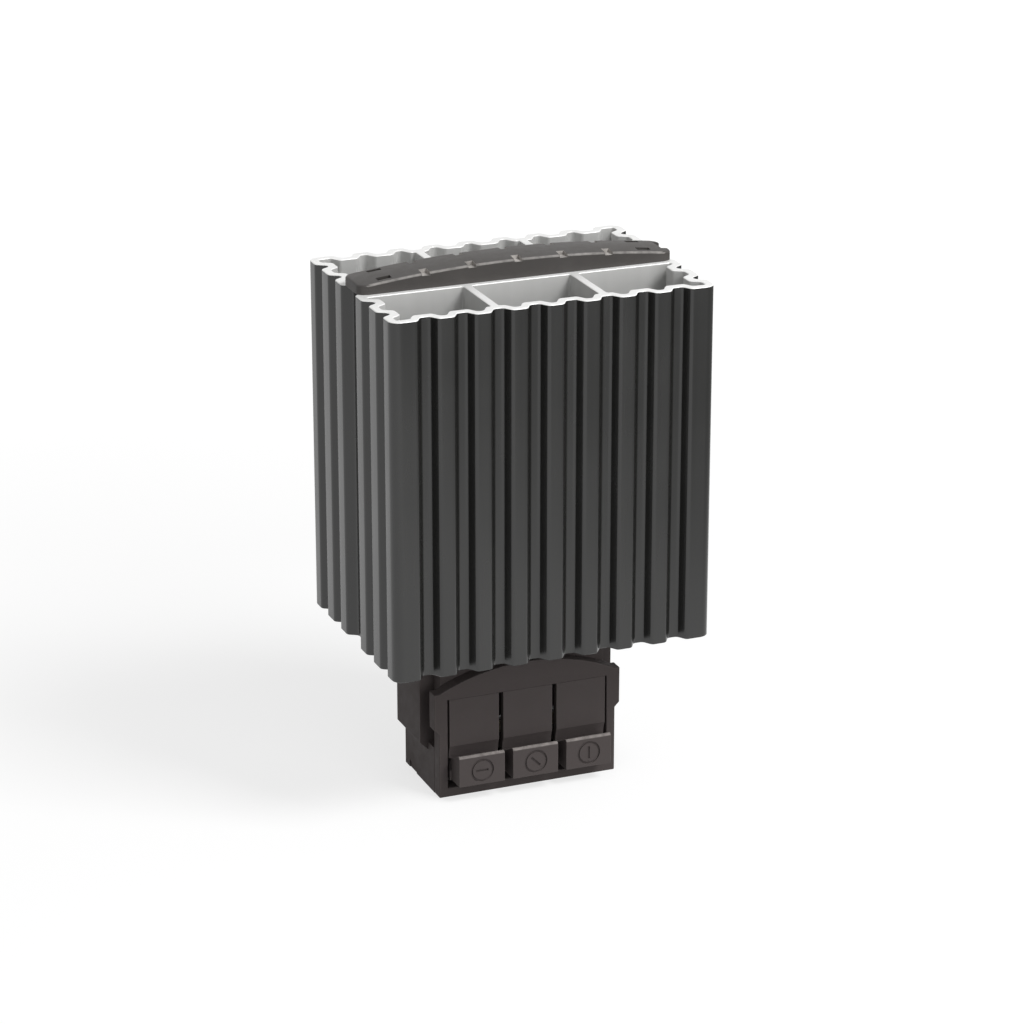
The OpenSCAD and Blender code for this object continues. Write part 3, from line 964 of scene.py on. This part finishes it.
@dataclass
class Moulding:
    """A piece whose solid has the right shape, given rounded edges.

    Attributes:
        name: the piece's name.
        node: the frame's node.
        body: the body that carries it.
        slot: the record's material slot; not used.
        rounding: rounding of its outer edges.
        shortest: edges shorter than this stay as they are.
        bend: edges that bend by more than this, in degrees, are rounded.
        joined: faces that meet at less than this, in degrees, become one.
        chosen: tells from an edge's middle, in millimetres, whether the edge is rounded.
        edge_wear_and_highlight: how strongly those edges show their lighter colour, from 0 to 1: a painted
            highlight on the keys, edge wear on the other pieces.
    """

    name: str
    node: str
    body: str
    slot: str
    rounding: Rounding = Rounding(0.3)
    shortest: float = 0.5
    bend: float = 28.0
    joined: float = 0.5
    chosen: Callable[[Vector], bool] = lambda middle: True
    edge_wear_and_highlight: float = 1.0

    def _merged(self) -> BMesh:
        """Copies the node's triangles, merged, with flat faces joined.

        Returns:
            The copy.
        """
        bm = bmesh.new()
        bm.from_mesh(frame["nodes"][self.node].data)
        bmesh.ops.remove_doubles(bm, verts=bm.verts, dist=MERGE)
        bmesh.ops.dissolve_limit(
            bm, angle_limit=math.radians(self.joined), verts=bm.verts, edges=bm.edges,
        )
        return bm

    def _outer(self, edge: BMEdge) -> bool:
        """Tells whether an edge is a convex one to round."""
        return (
            edge.is_manifold and edge.is_convex and edge.calc_face_angle() > math.radians(self.bend)
            and edge.calc_length() > self.shortest * MM
            and self.chosen((edge.verts[0].co + edge.verts[1].co) / 2 / MM)
        )

    def model(self) -> BMesh:
        """Rounds the copy's edges and marks them for their lighter colour, which on the keys is a painted
        highlight.

        Returns:
            The piece's mesh.
        """
        bm = self._merged()
        worn_and_lit_edges(bm, self._outer, self.rounding, self.edge_wear_and_highlight)
        return bm

    def build(self, material: bpy.types.Material) -> None:
        """Makes the piece in a material and seats it."""
        obj = make_object(self.model(), self.name, (material,))
        seat(obj, self.body, self.node)


@dataclass
class PressKey(Moulding):
    """A press key with a ring and a bar engraved on its face.

    Attributes:
        bar_turn: turn of the bar in degrees.
        ring_r: outer radius of the ring.
        ring_steps: faces round the ring.
        bar: length of the bar.
        line: width of the engraved lines.
        engraved: depth of the lines.
        mark_h: height of the ring's middle above the key's lower edge.
        ridge_h: height of the grip's ridge above the key's lower edge.
        ridge_highlight_near: flat faces this near to the ridge's height get a painted highlight.
    """

    bar_turn: float = 0.0
    ring_r: float = 2.6
    ring_steps: int = 48
    bar: float = 2.8
    line: float = 0.5
    engraved: float = 0.3
    mark_h: float = 3.2
    ridge_h: float = 6.8
    ridge_highlight_near: float = 0.5

    def _marks(self) -> BMesh:
        """Makes the ring and the bar as solids that reach into the key's face.

        Returns:
            The solids to cut away.
        """
        low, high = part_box(self.node)
        middle = Vector(((low.x + high.x) / 2, low.y, low.z + self.mark_h * MM))
        bm = bmesh.new()
        inner = self.ring_r - self.line
        section = [
            bm.verts.new(middle + Vector((x, y, 0.0)) * MM)
            for x, y in (
                (inner, -self.engraved), (self.ring_r, -self.engraved),
                (self.ring_r, self.engraved), (inner, self.engraved),
            )
        ]
        loop = [bm.edges.new((section[i - 1], section[i])) for i in range(len(section))]
        bmesh.ops.spin(
            bm, geom=[*section, *loop], cent=middle, axis=(0.0, 1.0, 0.0), angle=math.tau,
            steps=self.ring_steps, use_merge=True,
        )
        corner = Vector((self.bar / 2, self.engraved, self.line / 2))
        bar = add_block(bm, -corner, corner)
        turn = Matrix.Rotation(math.radians(self.bar_turn), 3, "Y")
        bmesh.ops.rotate(bm, verts=bar, cent=(0.0, 0.0, 0.0), matrix=turn)
        bmesh.ops.translate(bm, verts=bar, vec=middle)
        bmesh.ops.remove_doubles(bm, verts=bm.verts, dist=MERGE)
        bmesh.ops.recalc_face_normals(bm, faces=bm.faces)
        return bm

    def model(self) -> BMesh:
        """Rounds the key's edges with a painted highlight, paints a highlight on its ridge and engraves its
        face.

        Returns:
            The key's mesh.
        """
        bm = super().model()
        bm.normal_update()
        wear_and_highlight = bm.faces.layers.float[WEAR_AND_HIGHLIGHT]
        ridge_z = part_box(self.node)[0].z + self.ridge_h * MM
        # Paints a highlight on the ridge's upward faces
        for f in bm.faces:
            if f.normal.z > FLAT and abs(f.calc_center_median().z - ridge_z) < self.ridge_highlight_near * MM:
                f[wear_and_highlight] = 1.0
        return combined(bm, self._marks(), Combine.CUT)


@dataclass
class Terminal:
    """The terminal housing with its cover and its three press keys.

    Attributes:
        rounding: rounding of the housing's and the cover's edges.
        cover_root: the cover's edges this near to the hinges' height stay sharp.
        key_root: a key's edges less than this below its hinge stay sharp.
        key_edge_highlight: strength of the painted highlight on the keys' edges, from 0 to 1.
        bar_turns: turn of the bar on each key in degrees.
        hinge_z: height of the keys' hinges.
    """

    rounding: Rounding = Rounding(0.25)
    cover_root: float = 0.3
    key_root: float = 0.5
    key_edge_highlight: float = 0.3
    bar_turns: dict[Pole, float] = field(
        default_factory=lambda: {Pole.LEFT: 0.0, Pole.MIDDLE: 45.0, Pole.RIGHT: 90.0},
    )
    hinge_z: float = field(default_factory=lambda: frame["joints"][0]["pos_m"][2] / MM)

    def build(self, housing: bpy.types.Material, keys: bpy.types.Material) -> None:
        """Makes the housing, its cover and the keys, and seats them.

        Args:
            housing: finish of the housing and of its cover.
            keys: finish of the keys.
        """
        Moulding("housing_base", "terminal_base", MAIN_BODY, "housing_plastic", self.rounding).build(housing)
        Moulding(
            "housing_cover", "terminal_cover", MAIN_BODY, "housing_plastic", self.rounding,
            chosen=lambda middle: abs(middle.z - self.hinge_z) > self.cover_root,
        ).build(housing)
        for pole, bar_turn in self.bar_turns.items():
            PressKey(
                f"press_key_{pole.value}", f"clamp_key_{pole.value}", f"key_{pole.value}", "key_plastic",
                chosen=lambda middle: middle.z < self.hinge_z - self.key_root,
                edge_wear_and_highlight=self.key_edge_highlight, bar_turn=bar_turn,
            ).build(keys)


@dataclass
class RailClip(Moulding):
    """The spring-steel clip on the back, which grips the rail."""

    name: str = "rail_clip"
    node: str = "din_clip"
    body: str = MAIN_BODY
    slot: str = "spring_steel"
    rounding: Rounding = Rounding(0.15)


@dataclass
class InnerParts:
    """The parts that only show through an opening keep their solids and get a finish.

    Attributes:
        finish_of: the finish of each node.
    """

    finish_of: dict[str, str] = field(default_factory=lambda: {
        **{f"clamp_spring_{pole.value}": "spring_strip" for pole in Pole},
        **{f"current_bar_{pole.value}": "tinned_brass" for pole in Pole},
        "electrode_front": "rolled_aluminium",
        "electrode_rear": "rolled_aluminium",
        "ptc_stones": "fired_ceramic",
        "element_frame": "frame_moulding",
        "insulation_sleeve": "amber_film",
        "pressure_bar": "rolled_aluminium",
        "clip_rivets": "rolled_aluminium",
    })

    def dress(self, materials: dict[str, bpy.types.Material]) -> None:
        """Gives each node its finish.

        Args:
            materials: the materials of the finishes, by name.
        """
        for node, finish in self.finish_of.items():
            for slot in frame["nodes"][node].material_slots:
                slot.material = materials[finish]
            LOG.info("%s keeps its solid", node)


@dataclass
class StudioCamera:
    """The camera at the photograph's angle.

    Attributes:
        azimuth: turn round the object in degrees, negative to its left.
        elevation: height above the horizon in degrees.
        distance: distance to the target.
        target: the point in the middle of the picture.
        focal_px: focal length in pixels of the square frame.
        frame_px: side of the square frame in pixels.
    """

    azimuth: float = -22.1
    elevation: float = 20.0
    distance: float = 751.0
    target: Place = (0.0, -1.3, 58.3)
    focal_px: float = 3600.0
    frame_px: float = 1024.0

    def build(self) -> None:
        """Makes the camera and gives it to the scene."""
        data = bpy.data.cameras.new("photo_camera")
        data.lens = self.focal_px / self.frame_px * data.sensor_width
        camera = bpy.data.objects.new("photo_camera", data)
        turn, lift = math.radians(self.azimuth), math.radians(self.elevation)
        back = Vector((math.sin(turn) * math.cos(lift), -math.cos(turn) * math.cos(lift), math.sin(lift)))
        camera.location = (Vector(self.target) + back * self.distance) * MM
        camera.rotation_euler = (-back).to_track_quat("-Z", "Y").to_euler()
        bpy.context.scene.collection.objects.link(camera)
        bpy.context.scene.camera = camera


@dataclass(frozen=True)
class SoftBox:
    """A square studio lamp.

    Attributes:
        name: the lamp's name.
        place: where it stands.
        size: its side.
        power: its power in watts.
    """

    name: str
    place: Place
    size: float
    power: float

    def build(self, target: Vector) -> None:
        """Makes the lamp.

        Args:
            target: the point that it is turned to, in metres.
        """
        data = bpy.data.lights.new(self.name, "AREA")
        data.size = self.size * MM
        data.energy = self.power
        lamp = bpy.data.objects.new(self.name, data)
        lamp.location = Vector(self.place) * MM
        lamp.rotation_euler = (target - lamp.location).to_track_quat("-Z", "Y").to_euler()
        bpy.context.scene.collection.objects.link(lamp)


@dataclass
class Studio:
    """The floor, the surrounding white and the lamps.

    Attributes:
        floor_size: side of the floor.
        floor_white: colour of the floor.
        floor_lift: light that the floor adds near and far, where the camera sees it.
        floor_fade: distances from the object between which that light grows.
        painted_reflection_lift: painted reflection: glow that the floor adds only where a reflection or
            glass shows it, most and least.
        painted_reflection_way: the way over the floor along which that painted glow falls.
        painted_reflection_span: distances along that way between which it falls.
        ambient: strength of the surrounding light on the object.
        lamps: the soft boxes.
    """

    floor_size: float = 6000.0
    floor_white: Colour = (0.34, 0.34, 0.34)
    floor_lift: Span = (0.71, 0.98)
    floor_fade: Span = (150.0, 700.0)
    painted_reflection_lift: Span = (0.70, 0.0)
    painted_reflection_way: Place = (0.88, -0.47, 0.0)
    painted_reflection_span: Span = (105.0, 240.0)
    ambient: float = 0.36
    lamps: tuple[SoftBox, ...] = (
        SoftBox("key_light", place=(450.0, -520.0, 900.0), size=400.0, power=8.0),
        SoftBox("front_light", place=(250.0, -950.0, 300.0), size=600.0, power=3.0),
    )

    @staticmethod
    def _looks(sketch: NodeSketch) -> tuple[bpy.types.NodeSocket, bpy.types.NodeSocket]:
        """Tells who looks at a surface.

        Args:
            sketch: the node tree.

        Returns:
            A socket that is 1 where the camera looks, and one that is 1 where a reflected or transmitted ray
            does.
        """
        path = sketch.add("LightPath").outputs
        mirrored = sketch.math("MAXIMUM", path["Is Glossy Ray"], path["Is Transmission Ray"])
        return path["Is Camera Ray"], mirrored

    def _floor(self) -> None:
        """Makes the pale floor, which keeps the object's shadow and glows unevenly in reflections only: a
        painted reflection.
        """
        bm = bmesh.new()
        bmesh.ops.create_grid(bm, x_segments=1, y_segments=1, size=self.floor_size / 2 * MM)
        material = bpy.data.materials.new("pale_floor")
        material.use_nodes = True
        sketch = NodeSketch(material.node_tree)
        matte = sketch.add("BsdfDiffuse", {"Color": rgba(self.floor_white)})
        place = sketch.add("TexCoord").outputs["Object"]
        away = sketch.add("VectorMath", {0: place}, operation="LENGTH").outputs["Value"]
        along = sketch.add("VectorMath", {0: place, 1: self.painted_reflection_way}, operation="DOT_PRODUCT")
        seen, mirrored = self._looks(sketch)
        white = sketch.ramp(away, *(v * MM for v in self.floor_fade), *self.floor_lift)
        span = (v * MM for v in self.painted_reflection_span)
        # Painted reflection: a glow that only reflected rays see, so reflections of the floor grow dimmer
        # towards its front right
        painted_reflection = sketch.ramp(along.outputs["Value"], *span, *self.painted_reflection_lift)
        lifts = (sketch.math("MULTIPLY", seen, white), sketch.math("MULTIPLY", mirrored, painted_reflection))
        glow = sketch.add("Emission", {"Strength": sketch.math("ADD", *lifts)})
        both = sketch.add("AddShader", {0: matte.outputs[0], 1: glow.outputs[0]})
        sketch.add("OutputMaterial", {"Surface": both.outputs[0]})
        make_object(bm, "floor", (material,))

    def _world(self) -> None:
        """Surrounds the object with even light, seen as plain white."""
        world = bpy.data.worlds.new("white_room")
        bpy.context.scene.world = world
        world.use_nodes = True
        sketch = NodeSketch(world.node_tree)
        light = sketch.add("Background", {"Color": rgba(WHITE), "Strength": self.ambient})
        white = sketch.add("Background", {"Color": rgba(WHITE), "Strength": 1.0})
        seen = sketch.math("MAXIMUM", *self._looks(sketch))
        mixed = sketch.add("MixShader", {0: seen, 1: light.outputs[0], 2: white.outputs[0]})
        sketch.add("OutputWorld", {"Surface": mixed.outputs[0]})

    def build(self) -> None:
        """Makes the floor, the surroundings and the lamps."""
        self._floor()
        self._world()
        middle = (CAD_BOUNDS[0] + CAD_BOUNDS[1]) / 2
        for lamp in self.lamps:
            lamp.build(middle)
        bpy.context.scene.view_settings.view_transform = "Standard"


def main() -> None:
    """Builds the studio, the camera and the object."""
    logging.basicConfig(level=logging.INFO, format="%(name)s: %(message)s")
    effects = Effects()
    materials = {finish.name: finish.build(effects) for finish in FINISHES}
    StudioCamera().build()
    Studio().build()
    Extrusion().build({
        Surface.SKIN: materials["anodised_charcoal"],
        Surface.CUT: materials["sawn_aluminium"],
        Surface.BARE: materials["natural_aluminium"],
    })
    ArchedCap().build(materials["cap_moulding"])
    Terminal().build(materials["housing_moulding"], materials["key_moulding"])
    RailClip().build(materials["spring_strip"])
    InnerParts().dress(materials)


if __name__ == "__main__":
    main()
